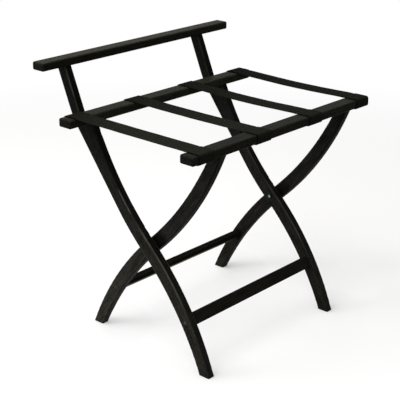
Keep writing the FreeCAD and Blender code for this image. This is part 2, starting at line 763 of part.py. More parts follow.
def build_back_frame():
    stretcher_y = "%s - %s" % (PIVOT_Y, FRONT_STRETCHER_REACH)
    return [
        new_back_leg("back_leg_left", "back_left", outer_is_low=True, holds_insert=True),
        new_back_leg("back_leg_right", "back_right", outer_is_low=False, holds_insert=False),
        new_back_bar("back_bar"),
        new_seat_rail("rear_seat_rail", REAR_RAIL_Y, ["back_left", "back_right"], REAR_TACK_OFFSET),
        new_stretcher("front_stretcher", "back_left", stretcher_y,
                      stretcher_lean("front_foot_reach"), -X_AXIS),
        new_dowels("back_bar_dowels", [(DOWEL_X["back_left"], BAR_Y), (DOWEL_X["back_right"], BAR_Y)],
                   "dowel_in_leg", "dowel_in_bar", "bar_underside"),
        new_dowels("rear_rail_dowels",
                   [(DOWEL_X["back_left"], REAR_RAIL_Y), (DOWEL_X["back_right"], REAR_RAIL_Y)],
                   "dowel_in_leg", "dowel_in_rail", "rail_underside"),
        new_tacks("rear_rail_tacks", REAR_RAIL_Y + " + " + REAR_TACK_OFFSET),
        *new_stretcher_fasteners("front_stretcher", "back_left", "back_right", stretcher_y),
        *new_pivot_set("left", "back_left", "front_left", True),
    ]


def build_front_frame():
    stretcher_y = "%s + %s" % (PIVOT_Y, REAR_STRETCHER_REACH)
    return [
        new_front_leg("front_leg_left", "front_left", outer_is_low=True, holds_insert=False),
        new_front_leg("front_leg_right", "front_right", outer_is_low=False, holds_insert=True),
        new_seat_rail("front_seat_rail", FRONT_RAIL_Y, ["front_left", "front_right"],
                      FRONT_TACK_OFFSET),
        new_stretcher("rear_stretcher", "front_left", stretcher_y,
                      stretcher_lean("rear_foot_reach"), X_AXIS),
        new_dowels("front_rail_dowels",
                   [(DOWEL_X["front_left"], FRONT_RAIL_Y), (DOWEL_X["front_right"], FRONT_RAIL_Y)],
                   "dowel_in_leg", "dowel_in_rail", "rail_underside"),
        new_tacks("front_rail_tacks", FRONT_RAIL_Y + " + " + FRONT_TACK_OFFSET),
        *new_stretcher_fasteners("rear_stretcher", "front_left", "front_right", stretcher_y),
        *new_pivot_set("right", "front_right", "back_right", False),
    ]


def build_straps():
    return [new_strap("webbing_strap_%d" % number, x) for number, x in enumerate(STRAP_X, start=1)]


def check(pieces):
    """Stop before anything is written if a feature failed or a piece has no sound shape."""
    for thing in doc.Objects:
        if "Invalid" in thing.State or "Error" in thing.State:
            raise RuntimeError("%s failed: %s" % (thing.Label, thing.State))
    for sketch in doc.findObjects("Sketcher::SketchObject"):
        if not sketch.FullyConstrained:
            raise RuntimeError("%s can still move" % sketch.Label)
    for piece in pieces:
        if piece.Shape.isNull() or not piece.Shape.isValid() or not piece.Shape.Solids:
            raise RuntimeError("%s has no valid solid" % piece.Label)


def write(pieces):
    os.makedirs("parts", exist_ok=True)
    for piece in pieces:
        piece.Shape.exportStep("parts/%s.step" % piece.Label)


bench = build_back_frame() + build_front_frame() + build_straps()
doc.recompute()
check(bench)
write(bench)
for piece in bench:
    box = piece.Shape.BoundBox
    print("%-26s solids %2d  volume %10.1f  x %.1f..%.1f  y %.1f..%.1f  z %.1f..%.1f" % (
        piece.Label, len(piece.Shape.Solids), piece.Shape.Volume,
        box.XMin, box.XMax, box.YMin, box.YMax, box.ZMin, box.ZMax))
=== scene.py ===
import json
import math

import bmesh
import bpy
from mathutils import Matrix, Vector


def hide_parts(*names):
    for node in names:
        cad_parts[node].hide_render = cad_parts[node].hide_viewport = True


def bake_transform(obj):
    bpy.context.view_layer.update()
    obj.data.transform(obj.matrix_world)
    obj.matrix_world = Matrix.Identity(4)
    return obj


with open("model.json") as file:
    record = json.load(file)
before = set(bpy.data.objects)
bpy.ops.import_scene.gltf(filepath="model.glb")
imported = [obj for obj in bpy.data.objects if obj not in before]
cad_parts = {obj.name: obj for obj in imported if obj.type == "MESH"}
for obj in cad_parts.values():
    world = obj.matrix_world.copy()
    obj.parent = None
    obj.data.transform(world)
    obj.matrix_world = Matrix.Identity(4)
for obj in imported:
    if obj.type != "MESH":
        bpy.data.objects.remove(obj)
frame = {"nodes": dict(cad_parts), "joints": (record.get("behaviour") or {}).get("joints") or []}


# ---------------------------------------------------------------- places in the frame, metres


def box(name):
    """The lowest and the highest corner of a CAD node's box."""
    node = frame["nodes"][name]
    corners = [node.matrix_world @ Vector(corner) for corner in node.bound_box]
    low = Vector([min(values) for values in zip(*corners)])
    high = Vector([max(values) for values in zip(*corners)])
    return low, high


def middle(name):
    low, high = box(name)
    return (low + high) / 2


STRAP_NUMBERS = (1, 2, 3, 4)
STRAP_WIDTH = 0.0455
TAIL_LENGTH = 0.0270

# How far each strap hangs in the middle of its free span.
STRAP_SAGS = (0.0004, 0.0013, 0.0027, 0.0028)

# Half the band's thickness, its gap to the rails, and from a rail's face to its middle line.
BAND_HALF = 0.0008
BAND_CLEARANCE = 0.0003
BAND_LIFT = BAND_CLEARANCE + BAND_HALF
RAIL_EDGE_RADIUS = 0.0040

# The tacks' places from a tail's end, and to each side of the strap's middle.
TACK_INSET = 0.0120
TACK_OFFSET_X = 0.0130

front_rail_low, front_rail_high = box("front_seat_rail")
rear_rail_low, rear_rail_high = box("rear_seat_rail")

FRONT_RAIL_BACK_Y = front_rail_high.y
REAR_RAIL_FRONT_Y = rear_rail_low.y
SPAN_MIDDLE_Y = (REAR_RAIL_FRONT_Y + FRONT_RAIL_BACK_Y) / 2
SPAN_HALF = (REAR_RAIL_FRONT_Y - FRONT_RAIL_BACK_Y) / 2

# The middle line of the band, round both rails.
TOP_Z = front_rail_high.z + BAND_LIFT
UNDER_Z = front_rail_low.z - BAND_LIFT
FRONT_Y = front_rail_low.y - BAND_LIFT
REAR_Y = rear_rail_high.y + BAND_LIFT
CORNER_RADIUS = RAIL_EDGE_RADIUS + BAND_LIFT
FRONT_TAIL_Y = front_rail_low.y + TAIL_LENGTH
REAR_TAIL_Y = rear_rail_high.y - TAIL_LENGTH
FRONT_TACK_Y = FRONT_TAIL_Y - TACK_INSET
REAR_TACK_Y = REAR_TAIL_Y + TACK_INSET
STRAP_CENTRES_X = [middle(f"webbing_strap_{number}").x for number in STRAP_NUMBERS]

_, PIVOT_Y, PIVOT_Z = frame["joints"][0]["pos_m"]


# ---------------------------------------------------------------- node helpers

WHITE = (1.0, 1.0, 1.0, 1.0)
BLACK = (0.0, 0.0, 0.0, 1.0)
NOISE_MIDDLE = (0.3, 0.7)


class Graph:
    """A material's or world's node tree, with short calls that add and join nodes."""

    def __init__(self, tree):
        self.tree = tree
        self.tree.nodes.clear()

    def add(self, kind, **settings):
        node = self.tree.nodes.new(kind)
        for key, value in settings.items():
            setattr(node, key, value)
        return node

    def join(self, source, target):
        self.tree.links.new(source, target)

    def put(self, value, target):
        """Joins a socket to the target, or sets the target to a plain value."""
        if isinstance(value, bpy.types.NodeSocket):
            self.join(value, target)
        else:
            target.default_value = value

    def math(self, operation, first, second=0.0, third=0.0):
        node = self.add("ShaderNodeMath", operation=operation)
        self.put(first, node.inputs[0])
        self.put(second, node.inputs[1])
        self.put(third, node.inputs[2])
        return node.outputs[0]

    def distance(self, first, second):
        """The length of a step whose two parts, at right angles, are given."""
        squares = self.math("MULTIPLY_ADD", first, first, self.math("MULTIPLY", second, second))
        return self.math("SQRT", squares)

    def split(self, vector):
        """The X, Y and Z of a vector."""
        node = self.add("ShaderNodeSeparateXYZ")
        self.join(vector, node.inputs[0])
        return node.outputs

    def scale(self, vector, factor):
        node = self.add("ShaderNodeVectorMath", operation="SCALE")
        self.join(vector, node.inputs[0])
        self.join(factor, node.inputs["Scale"])
        return node.outputs["Vector"]

    def remap(self, value, low, high, new_low=0.0, new_high=1.0):
        """A value between low and high, drawn out to new_low and new_high and held between them."""
        node = self.add("ShaderNodeMapRange", clamp=True)
        self.put(value, node.inputs["Value"])
        node.inputs["From Min"].default_value = low
        node.inputs["From Max"].default_value = high
        self.put(new_low, node.inputs["To Min"])
        self.put(new_high, node.inputs["To Max"])
        return node.outputs["Result"]

    def mix(self, share, first, second):
        """The first colour at share 0 and the second at share 1.

        The node's colour sockets are inputs 6 and 7 and output 2.
        """
        node = self.add("ShaderNodeMix", data_type="RGBA")
        self.put(share, node.inputs[0])
        self.put(first, node.inputs[6])
        self.put(second, node.inputs[7])
        return node.outputs[2]

    def noise(self, vector, scale, detail=2.0, roughness=0.5):
        node = self.add("ShaderNodeTexNoise")
        self.join(vector, node.inputs["Vector"])
        node.inputs["Scale"].default_value = scale
        node.inputs["Detail"].default_value = detail
        node.inputs["Roughness"].default_value = roughness
        return node.outputs["Fac"]

    def ramp(self, value, stops):
        node = self.add("ShaderNodeValToRGB")
        elements = node.color_ramp.elements
        elements[0].position, elements[0].color = stops[0]
        elements[1].position, elements[1].color = stops[-1]
        for position, colour in stops[1:-1]:
            elements.new(position).color = colour
        self.put(value, node.inputs["Fac"])
        return node.outputs["Color"]

    def bump(self, height, distance, strength, normal=None):
        node = self.add("ShaderNodeBump")
        node.inputs["Strength"].default_value = strength
        node.inputs["Distance"].default_value = distance
        self.join(height, node.inputs["Height"])
        if normal is not None:
            self.join(normal, node.inputs["Normal"])
        return node.outputs["Normal"]

    def shader(self):
        shader = self.add("ShaderNodeBsdfPrincipled")
        output = self.add("ShaderNodeOutputMaterial")
        self.join(shader.outputs[0], output.inputs["Surface"])
        return shader

    def coat(self, colour, uneven, roughness, relief, relief_depth):
        """A plain finish: a colour, a roughness that follows the uneven noise, and a fine relief."""
        shader = self.shader()
        self.join(colour, shader.inputs["Base Color"])
        self.join(self.remap(uneven, *NOISE_MIDDLE, *roughness), shader.inputs["Roughness"])
        self.join(self.bump(relief, *relief_depth), shader.inputs["Normal"])
        return shader

    def diffuse(self, colour):
        node = self.add("ShaderNodeBsdfDiffuse")
        self.put(colour, node.inputs["Color"])
        return node.outputs[0]

    def glow(self, colour, strength):
        node = self.add("ShaderNodeEmission")
        self.put(colour, node.inputs["Color"])
        self.put(strength, node.inputs["Strength"])
        return node.outputs[0]

    def mix_shaders(self, share, first, second):
        """The first shader at share 0 and the second at share 1."""
        node = self.add("ShaderNodeMixShader")
        self.join(share, node.inputs[0])
        self.join(first, node.inputs[1])
        self.join(second, node.inputs[2])
        return node.outputs[0]


class Surface:
    """Where a point of a piece lies and which way it faces: what its colour and wear follow."""

    def __init__(self, graph):
        coordinates = graph.add("ShaderNodeTexCoord")
        self.place = coordinates.outputs["Object"]
        self.x, self.y, self.z = graph.split(self.place)
        self.facing_x, self.facing_y, self.facing_z = graph.split(coordinates.outputs["Normal"])
        self.side = graph.math("ABSOLUTE", self.facing_x)

    def from_axis(self, graph, centre_y, centre_z):
        """Distance from an axis that runs along X."""
        across = graph.math("SUBTRACT", self.y, centre_y)
        height = graph.math("SUBTRACT", self.z, centre_z)
        return graph.distance(across, height)


def linear(red, green, blue):
    """The linear colour of an sRGB colour given from 0 to 255."""

    def channel(value):
        value = value / 255.0
        if value <= 0.04045:
            return value / 12.92
        return ((value + 0.055) / 1.055) ** 2.4

    return (channel(red), channel(green), channel(blue), 1.0)


def grey(level):
    return (level, level, level, 1.0)


def new_material(name):
    material = bpy.data.materials.new(name)
    material.use_nodes = True
    graph = Graph(material.node_tree)
    return material, graph, Surface(graph)


# ---------------------------------------------------------------- the wood's stain and finish

# The pores' tone, also used to paint shade on the legs and boards.
PORE_AND_SHADE_TONE = linear(7, 7, 6)
# Worn edges, painted paler also as the highlight along rounded edges.
WORN_AND_HIGHLIGHT_TONE = linear(78, 77, 71)

# How far the noises are drawn out along the grain, and their shifts from the board's own offset.
STREAK_STRETCH = 18.0
PORE_STRETCH = 9.0
PORE_SHIFT = 1.7
FIGURE_STRETCH = 3.0
FIGURE_SHIFT = 4.1
SHIFT_SHARES = (1.0, 0.3, 0.7)

# Each noise's scale, detail and roughness.
FIGURE_NOISE = (70.0, 3.0, 0.6)
STREAK_NOISE = (420.0, 4.0, 0.6)
PORE_NOISE = (900.0, 2.0, 0.5)
MOTTLE_NOISE = (230.0, 3.0, 0.65)
EDGE_PATCH_NOISE = (60.0, 3.0, 0.6)

FIGURE_WEIGHT = 0.25
STREAK_WEIGHT = 0.47
MOTTLE_WEIGHT = 0.48
FIGURE_LEVELS = (0.47, 0.73)
STAIN_SHARES = (0.32, 1.68)

PORE_LEVELS = (0.60, 0.70)
PORE_DARKNESS = 0.6
EDGE_PATCH_LEVELS = (0.32, 0.60)
EDGE_PATCH_SHARES = (0.35, 1.0)

WOOD_SPECULAR = 0.009
# The specular level of the board with the painted rim highlight.
RIM_SPECULAR = 0.0
WOOD_ROUGHNESS = 0.36
STREAK_ROUGHNESS = 0.16
PORE_ROUGHNESS = 0.18
STREAK_RELIEF = 0.5
GRAIN_RELIEF = (0.00012, 0.5)


def grain_vector(graph, surface, tilt, along_x, stretch, shift):
    """Places turned so that the grain runs along one axis, and drawn out along it."""
    mapping = graph.add("ShaderNodeMapping", vector_type="TEXTURE")
    mapping.inputs["Location"].default_value = [share * shift for share in SHIFT_SHARES]
    mapping.inputs["Rotation"].default_value = (tilt, 0.0, 0.0)
    scale = (stretch, 1.0, 1.0) if along_x else (1.0, stretch, 1.0)
    mapping.inputs["Scale"].default_value = scale
    graph.join(surface.place, mapping.inputs["Vector"])
    return mapping.outputs["Vector"]


def finish_wood(graph, surface, tone, wear, tilt, along_x, offset, specular=WOOD_SPECULAR):
    """Streaks, open pores, mottle, and worn edges with a painted highlight, over the stain, under a
    thin dull lacquer.
    """
    streaks = grain_vector(graph, surface, tilt, along_x, STREAK_STRETCH, offset)
    pores = grain_vector(graph, surface, tilt, along_x, PORE_STRETCH, offset + PORE_SHIFT)
    board = grain_vector(graph, surface, tilt, along_x, FIGURE_STRETCH, offset + FIGURE_SHIFT)
    figure = graph.noise(board, *FIGURE_NOISE)
    streak = graph.noise(streaks, *STREAK_NOISE)
    fleck = graph.noise(pores, *PORE_NOISE)
    mottle = graph.noise(surface.place, *MOTTLE_NOISE)

    level = graph.math("MULTIPLY", streak, STREAK_WEIGHT)
    level = graph.math("MULTIPLY_ADD", figure, FIGURE_WEIGHT, level)
    level = graph.math("MULTIPLY_ADD", mottle, MOTTLE_WEIGHT, level)
    colour = graph.scale(tone, graph.remap(level, *FIGURE_LEVELS, *STAIN_SHARES))
    pore = graph.remap(fleck, *PORE_LEVELS)
    colour = graph.mix(graph.math("MULTIPLY", pore, PORE_DARKNESS), colour, PORE_AND_SHADE_TONE)
    # Patches along the worn edges and their painted highlight.
    edge_patches = graph.remap(graph.noise(board, *EDGE_PATCH_NOISE), *EDGE_PATCH_LEVELS, *EDGE_PATCH_SHARES)
    colour = graph.mix(graph.math("MULTIPLY", wear, edge_patches), colour, WORN_AND_HIGHLIGHT_TONE)

    shader = graph.shader()
    rough = graph.math("MULTIPLY_ADD", streak, STREAK_ROUGHNESS, WOOD_ROUGHNESS)
    rough = graph.math("MULTIPLY_ADD", pore, PORE_ROUGHNESS, rough)
    graph.join(rough, shader.inputs["Roughness"])
    shader.inputs["Specular IOR Level"].default_value = specular
    relief = graph.math("MULTIPLY", streak, STREAK_RELIEF)
    relief = graph.math("MULTIPLY_ADD", pore, -1.0, relief)
    graph.join(graph.bump(relief, *GRAIN_RELIEF), shader.inputs["Normal"])
    return shader, colour


# ---------------------------------------------------------------- legs

# Leg tones, painted paler towards the floor where its light falls, and darker on the far legs as
# painted shade.
FOOT_TONE = linear(36, 35, 32)
LEG_TONE = linear(33, 32, 28)
ARC_TONE = linear(27, 26, 24)
SEAT_TONE = linear(20, 21, 18)
POST_TONE = linear(14, 14, 12)
ARC_FOOT_TONE = linear(44, 43, 38)

# A leg's tones from the foot to the post, and the shares of LEG_TOP_Z at which they are full.
NEAR_LEG_TONES = (FOOT_TONE, LEG_TONE, ARC_TONE, SEAT_TONE, POST_TONE)
ARC_LEG_TONES = (ARC_FOOT_TONE, FOOT_TONE, ARC_TONE, ARC_TONE, SEAT_TONE)
SHADED_FAR_LEG_TONES = (LEG_TONE, ARC_TONE, ARC_TONE, SEAT_TONE, POST_TONE)
LEG_TONE_HEIGHTS = (0.02, 0.34, 0.56, 0.68, 0.84)
LEG_TOP_Z = 0.63

# Shares of LEG_TOP_Z, and sideways parts of a leg's surface normal, between which its looks change.
# Where a leg's narrow faces get painted shade, by height and by facing.
NARROW_SHADE_HEIGHTS = (0.12, 0.34)
NARROW_SHADE_FACING = (0.55, 0.10)
ARRIS_START = (0.06, 0.40)
ARRIS_END = (0.999, 0.85)

# How worn a leg's long edges are, and how strong their painted highlight, by share of LEG_TOP_Z.
LEG_WEAR_AND_HIGHLIGHT = (
    (0.00, 0.05),
    (0.20, 0.15),
    (0.29, 0.80),
    (0.42, 0.80),
    (0.46, 0.25),
    (0.50, 0.25),
    (0.515, 1.00),
    (0.565, 1.00),
    (0.585, 0.05),
    (0.75, 0.05),
    (0.84, 0.40),
    (0.90, 0.60),
    (0.97, 0.35),
)

# The painted shade on a leg beside the pivot.
PIVOT_SHADE_OFFSET_Y = -0.020
PIVOT_SHADE_OFFSET_Z = 0.012
PIVOT_SHADE_RADIUS = 0.034
PIVOT_SHADE_CORE_RADIUS = 0.0153

# The grain follows each leg's straight lower part.
BACK_LEG_TILT = math.radians(55.0)
FRONT_LEG_TILT = math.radians(127.0)
# Each leg's worn edges with their painted highlight, and its painted shade on narrow faces and beside
# the pivot.
LEG_LOOKS = {
    "back_leg_left": dict(
        tilt=BACK_LEG_TILT, offset=0.0, tones=NEAR_LEG_TONES, wear=1.0, narrow_shade=(0.40, 0.60)
    ),
    "back_leg_right": dict(
        tilt=BACK_LEG_TILT, offset=2.3, tones=SHADED_FAR_LEG_TONES, wear=0.5, narrow_shade=(0.0, 0.60)
    ),
    "front_leg_left": dict(
        tilt=FRONT_LEG_TILT, offset=5.1, tones=ARC_LEG_TONES, wear=0.25, narrow_shade=(0.0, 0.0), pivot_shade=0.85
    ),
    "front_leg_right": dict(
        tilt=FRONT_LEG_TILT, offset=7.9, tones=SHADED_FAR_LEG_TONES, wear=0.25, narrow_shade=(0.0, 0.0), pivot_shade=0.60
    ),
}


def leg_tone(graph, surface, tones, narrow_shade):
    """A leg's stain: paler towards the floor, painted as the floor's light, and darkest on the post.

    Its narrow faces get painted shade; the last argument says how dark, low down and higher up.
    """
    height = graph.math("DIVIDE", surface.z, LEG_TOP_Z)
    tone = graph.ramp(height, list(zip(LEG_TONE_HEIGHTS, tones)))
    # Painted shade on the narrow faces.
    darkest = graph.remap(height, *NARROW_SHADE_HEIGHTS, *narrow_shade)
    return graph.mix(graph.remap(surface.side, *NARROW_SHADE_FACING, 0.0, darkest), tone, PORE_AND_SHADE_TONE)


def crossing_shade(graph, surface):
    """1 beside the pivot: painted shade where the other leg keeps the light off this one."""
    away = surface.from_axis(graph, PIVOT_Y + PIVOT_SHADE_OFFSET_Y, PIVOT_Z + PIVOT_SHADE_OFFSET_Z)
    return graph.remap(away, PIVOT_SHADE_RADIUS, PIVOT_SHADE_CORE_RADIUS)


def leg_wear_and_highlight(graph, surface, strength):
    """Worn long edges with a painted highlight: most above the pivot, least at the foot and under the
    seat.
    """
    arris = graph.remap(surface.side, *ARRIS_START)
    arris = graph.math("MULTIPLY", arris, graph.remap(surface.side, *ARRIS_END))
    height = graph.math("DIVIDE", surface.z, LEG_TOP_Z)
    level = graph.ramp(height, [(place, grey(wear)) for place, wear in LEG_WEAR_AND_HIGHLIGHT])
    return graph.math("MULTIPLY", arris, graph.math("MULTIPLY", level, strength))


def leg_wood(name, tilt, offset, tones, wear, narrow_shade, pivot_shade=0.0):
    """A leg's wood. tilt turns the grain, and offset shifts it, so that no two legs are alike."""
    material, graph, surface = new_material(name)
    tone = leg_tone(graph, surface, tones, narrow_shade)
    # Painted shade beside the pivot.
    shaded = graph.math("MULTIPLY", crossing_shade(graph, surface), pivot_shade)
    tone = graph.mix(shaded, tone, PORE_AND_SHADE_TONE)
    highlighted = leg_wear_and_highlight(graph, surface, wear)
    shader, colour = finish_wood(graph, surface, tone, highlighted, tilt, False, offset)
    graph.join(colour, shader.inputs["Base Color"])
    return material


# ---------------------------------------------------------------- rails, bar and stretchers

# Copies of one stain, painted lighter and darker by how light falls on each board and face.
RAIL_TONE = linear(23, 22, 17)
REAR_RAIL_LIT_TONE = linear(28, 27, 22)
STRETCHER_TONE = linear(16, 15, 12)
REAR_STRETCHER_LIT_TONE = linear(29, 28, 23)
BAR_TOP_LIT_TONE = linear(41, 40, 32)
REAR_TOP_LIT_TONE = linear(35, 35, 28)
FRONT_TOP_LIT_TONE = linear(26, 26, 20)
END_TONE = linear(18, 18, 15)
# The painted highlight along the rear stretcher's lower edge.
RIM_HIGHLIGHT_TONE = linear(150, 146, 122)

# Parts of a board's surface normal between which its looks change.
TOP_FACING = (0.72, 0.94)
# Painted shade under a board.
UNDER_FACING = (-0.05, -0.45)
UNDER_SHADE = 0.65
END_FACING = (0.50, 0.90)
EDGE_FACING = (0.99, 0.80)

# The painted shade on a rail's top beside each strap's edges.
STRAP_SHADE_WIDTH = 0.0035
STRAP_SHADE_FACING = (0.20, 0.80)

# Where the painted rim highlight lies.
RIM_TOP_Z = 0.1045
RIM_LOW_Z = 0.1000
RIM_FACING = (-0.02, -0.20)
RIM_LEFT_X = 0.08
RIM_RIGHT_X = 0.20
RIM_RIGHT_SHARE = 0.10

# tones are those of the sides and of the top, painted with the light and shade that fall on each.
BOARD_LOOKS = {
    "back_bar": dict(tones=(RAIL_TONE, BAR_TOP_LIT_TONE), offset=1.3, wear=0.10),
    "rear_seat_rail": dict(
        tones=(REAR_RAIL_LIT_TONE, REAR_TOP_LIT_TONE), offset=3.7, wear=0.08, straps=True
    ),
    "front_seat_rail": dict(
        tones=(RAIL_TONE, FRONT_TOP_LIT_TONE), offset=6.2, wear=0.08, straps=True
    ),
    "front_stretcher": dict(tones=(STRETCHER_TONE, STRETCHER_TONE), offset=8.8, wear=0.10),
    "rear_stretcher": dict(
        tones=(REAR_STRETCHER_LIT_TONE, STRETCHER_TONE), offset=9.9, wear=0.05, rim=True
    ),
}


def board_tone(graph, surface, tone, painted_top_tone):
    """A board's stain: a top tone painted for the light there, painted shade below, and darker end
    grain.
    """
    stain = graph.mix(graph.remap(surface.facing_z, *TOP_FACING), tone, painted_top_tone)
    under = graph.remap(surface.facing_z, *UNDER_FACING, 0.0, UNDER_SHADE)
    stain = graph.mix(under, stain, PORE_AND_SHADE_TONE)
    return graph.mix(graph.remap(surface.side, *END_FACING), stain, END_TONE)


def board_wear_and_highlight(graph, surface, strength):
    """A board's rounded edges, where no one face direction rules: worn, and painted with a highlight.
    """
    front = graph.math("ABSOLUTE", surface.facing_y)
    top = graph.math("ABSOLUTE", surface.facing_z)
    largest = graph.math("MAXIMUM", surface.side, graph.math("MAXIMUM", front, top))
    return graph.remap(largest, *EDGE_FACING, 0.0, strength)


def strap_shade_lines(graph, surface):
    """1 on a narrow line on a rail's top against each strap's edges: painted shade."""
    half = STRAP_WIDTH / 2
    lines = 0.0
    for centre_x in STRAP_CENTRES_X:
        away = graph.math("ABSOLUTE", graph.math("SUBTRACT", surface.x, centre_x))
        line = graph.remap(away, half, half + STRAP_SHADE_WIDTH, 1.0, 0.0)
        lines = graph.math("MAXIMUM", lines, line)
    return graph.math("MULTIPLY", lines, graph.remap(surface.facing_z, *STRAP_SHADE_FACING))


def lower_rim_highlight(graph, surface):
    """1 along the lower edge of the stretcher's front face: a painted highlight of light reflected
    there.
    """
    low = graph.remap(surface.z, RIM_TOP_Z, RIM_LOW_Z)
    forward = graph.remap(surface.facing_y, *RIM_FACING)
    highlighted = graph.remap(surface.x, RIM_LEFT_X, RIM_RIGHT_X, 1.0, RIM_RIGHT_SHARE)
    return graph.math("MULTIPLY", graph.math("MULTIPLY", low, forward), highlighted)


def board_wood(name, tones, offset, wear, straps=False, rim=False):
    """The wood of a board along X, with painted shade beside the straps and a painted highlight on
    the lower rim, where it has them.
    """
    material, graph, surface = new_material(name)
    stain = board_tone(graph, surface, *tones)
    highlighted = board_wear_and_highlight(graph, surface, wear)
    specular = RIM_SPECULAR if rim else WOOD_SPECULAR
    shader, colour = finish_wood(graph, surface, stain, highlighted, 0.0, True, offset, specular)
    # Painted shade beside the straps.
    if straps:
        colour = graph.mix(strap_shade_lines(graph, surface), colour, BLACK)
    # Painted highlight along the lower rim.
    if rim:
        colour = graph.mix(lower_rim_highlight(graph, surface), colour, RIM_HIGHLIGHT_TONE)
    graph.join(colour, shader.inputs["Base Color"])
    return material


# ---------------------------------------------------------------- plugs, dowels, metal and nylon

# Each noise's scale, detail and roughness.
FINE_NOISE = (1400.0, 3.0, 0.6)
BROAD_NOISE = (320.0, 2.0, 0.5)
OXIDE_NOISE = (900.0, 3.0, 0.6)
SPOT_NOISE = (700.0, 3.0, 0.6)
TURNING_NOISE = (2800.0, 2.0, 0.5)
HAZE_NOISE = (500.0, 3.0, 0.6)

# Each relief's depth and strength.
SANDED_RELIEF = (0.0001, 0.4)
METAL_RELIEF = (0.00004, 0.4)
NYLON_RELIEF = (0.00005, 0.3)
SANDED_ROUGHNESS = (0.42, 0.60)
BOLT_ROUGHNESS = (0.30, 0.46)
NYLON_ROUGHNESS = (0.40, 0.55)

PLUG_MIDDLE = (0.0034, 0.0018)
PLUG_RING_PITCH = 9000.0
PLUG_RING_WEIGHT = 0.12
PLUG_LEVELS = (0.30, 0.60)
PLUG_SPECULAR = 0.10
PLUG_LOOKS = {
    "front_stretcher_plugs": ("front_plug_wood", linear(50, 49, 45), linear(72, 70, 64)),
    "rear_stretcher_plugs": ("rear_plug_wood", linear(34, 33, 29), linear(44, 43, 38)),
}

DOWEL_TONES = (linear(170, 132, 88), linear(206, 170, 122))
DOWEL_LEVELS = (0.35, 0.65)
FINE_WEIGHT = 0.6
BROAD_WEIGHT = 0.4

# Each metal's duller and brighter colour.
METAL_LEVELS = (0.3, 0.6)
SOCKET_EDGE = (0.0036, 0.0026)
SOCKET_STEEL = ((0.20, 0.26, 0.24, 1.0), (0.30, 0.38, 0.35, 1.0))
BLACK_OXIDE = ((0.007, 0.011, 0.010, 1.0), (0.012, 0.018, 0.016, 1.0))
ZINC = ((0.50, 0.50, 0.48, 1.0), (0.68, 0.68, 0.65, 1.0))
BLUED_STEEL = ((0.10, 0.10, 0.11, 1.0), (0.24, 0.25, 0.27, 1.0))
BRASS = ((0.62, 0.44, 0.18, 1.0), (0.80, 0.60, 0.28, 1.0))
ZINC_ROUGHNESS = (0.30, 0.46)
BLUED_ROUGHNESS = (0.30, 0.48)
BRASS_ROUGHNESS = (0.26, 0.42)

NYLON_TONES = (linear(24, 24, 23), linear(38, 38, 36))
NYLON_LEVELS = (0.35, 0.65)


def plug_wood(node, name, dark, light):
    """The end of a wood plug: its rim stained like the leg, its middle sanded a little paler."""
    material, graph, surface = new_material(name)
    centre = middle(node)
    fine = graph.noise(surface.place, *FINE_NOISE)
    from_axis = surface.from_axis(graph, centre.y, centre.z)
    rings = graph.math("SINE", graph.math("MULTIPLY", from_axis, PLUG_RING_PITCH))
    level = graph.math("MULTIPLY_ADD", rings, PLUG_RING_WEIGHT, fine)
    sanded = graph.ramp(level, list(zip(PLUG_LEVELS, (dark, light))))
    colour = graph.mix(graph.remap(from_axis, *PLUG_MIDDLE), LEG_TONE, sanded)
    shader = graph.coat(colour, fine, SANDED_ROUGHNESS, fine, SANDED_RELIEF)
    shader.inputs["Specular IOR Level"].default_value = PLUG_SPECULAR
    return material


def beech_wood(name, tones):
    """Pale dowel wood."""
    material, graph, surface = new_material(name)
    fine = graph.noise(surface.place, *FINE_NOISE)
    broad = graph.noise(surface.place, *BROAD_NOISE)
    level = graph.math("MULTIPLY_ADD", fine, FINE_WEIGHT, graph.math("MULTIPLY", broad, BROAD_WEIGHT))
    colour = graph.ramp(level, list(zip(DOWEL_LEVELS, tones)))
    graph.coat(colour, fine, SANDED_ROUGHNESS, fine, SANDED_RELIEF)
    return material


def metal(name, tones, roughness):
    """Plated metal with fine turning marks and a few duller spots."""
    material, graph, surface = new_material(name)
    spots = graph.noise(surface.place, *SPOT_NOISE)
    marks = graph.noise(surface.place, *TURNING_NOISE)
    colour = graph.ramp(spots, list(zip(METAL_LEVELS, tones)))
    shader = graph.coat(colour, spots, roughness, marks, METAL_RELIEF)
    shader.inputs["Metallic"].default_value = 1.0
    return material


def bolt_steel(name):
    """A black-oxide bolt with bright steel within a few millimetres of the pivot axis."""
    material, graph, surface = new_material(name)
    spots = graph.noise(surface.place, *OXIDE_NOISE)
    bright = graph.remap(surface.from_axis(graph, PIVOT_Y, PIVOT_Z), *SOCKET_EDGE)
    steel = graph.ramp(spots, list(zip(METAL_LEVELS, SOCKET_STEEL)))
    oxide = graph.ramp(spots, list(zip(METAL_LEVELS, BLACK_OXIDE)))
    shader = graph.coat(graph.mix(bright, oxide, steel), spots, BOLT_ROUGHNESS, spots, METAL_RELIEF)
    shader.inputs["Metallic"].default_value = 1.0
    return material


def nylon(name, tones):
    """Dull moulded nylon."""
    material, graph, surface = new_material(name)
    haze = graph.noise(surface.place, *HAZE_NOISE)
    colour = graph.ramp(haze, list(zip(NYLON_LEVELS, tones)))
    graph.coat(colour, haze, NYLON_ROUGHNESS, haze, NYLON_RELIEF)
    return material


# ---------------------------------------------------------------- webbing

YARN_DARK = linear(11, 11, 9)
YARN_LIGHT = linear(38, 38, 32)
# Painted shade along a strap's edges where it lies on a rail.
SELVEDGE_SHADE_TONE = linear(5, 5, 4)
WARP_PITCH = 0.00135
PICK_PITCH = 0.00230
WARP_ROUNDING = 0.6
LOOP_DEPTH = 0.5

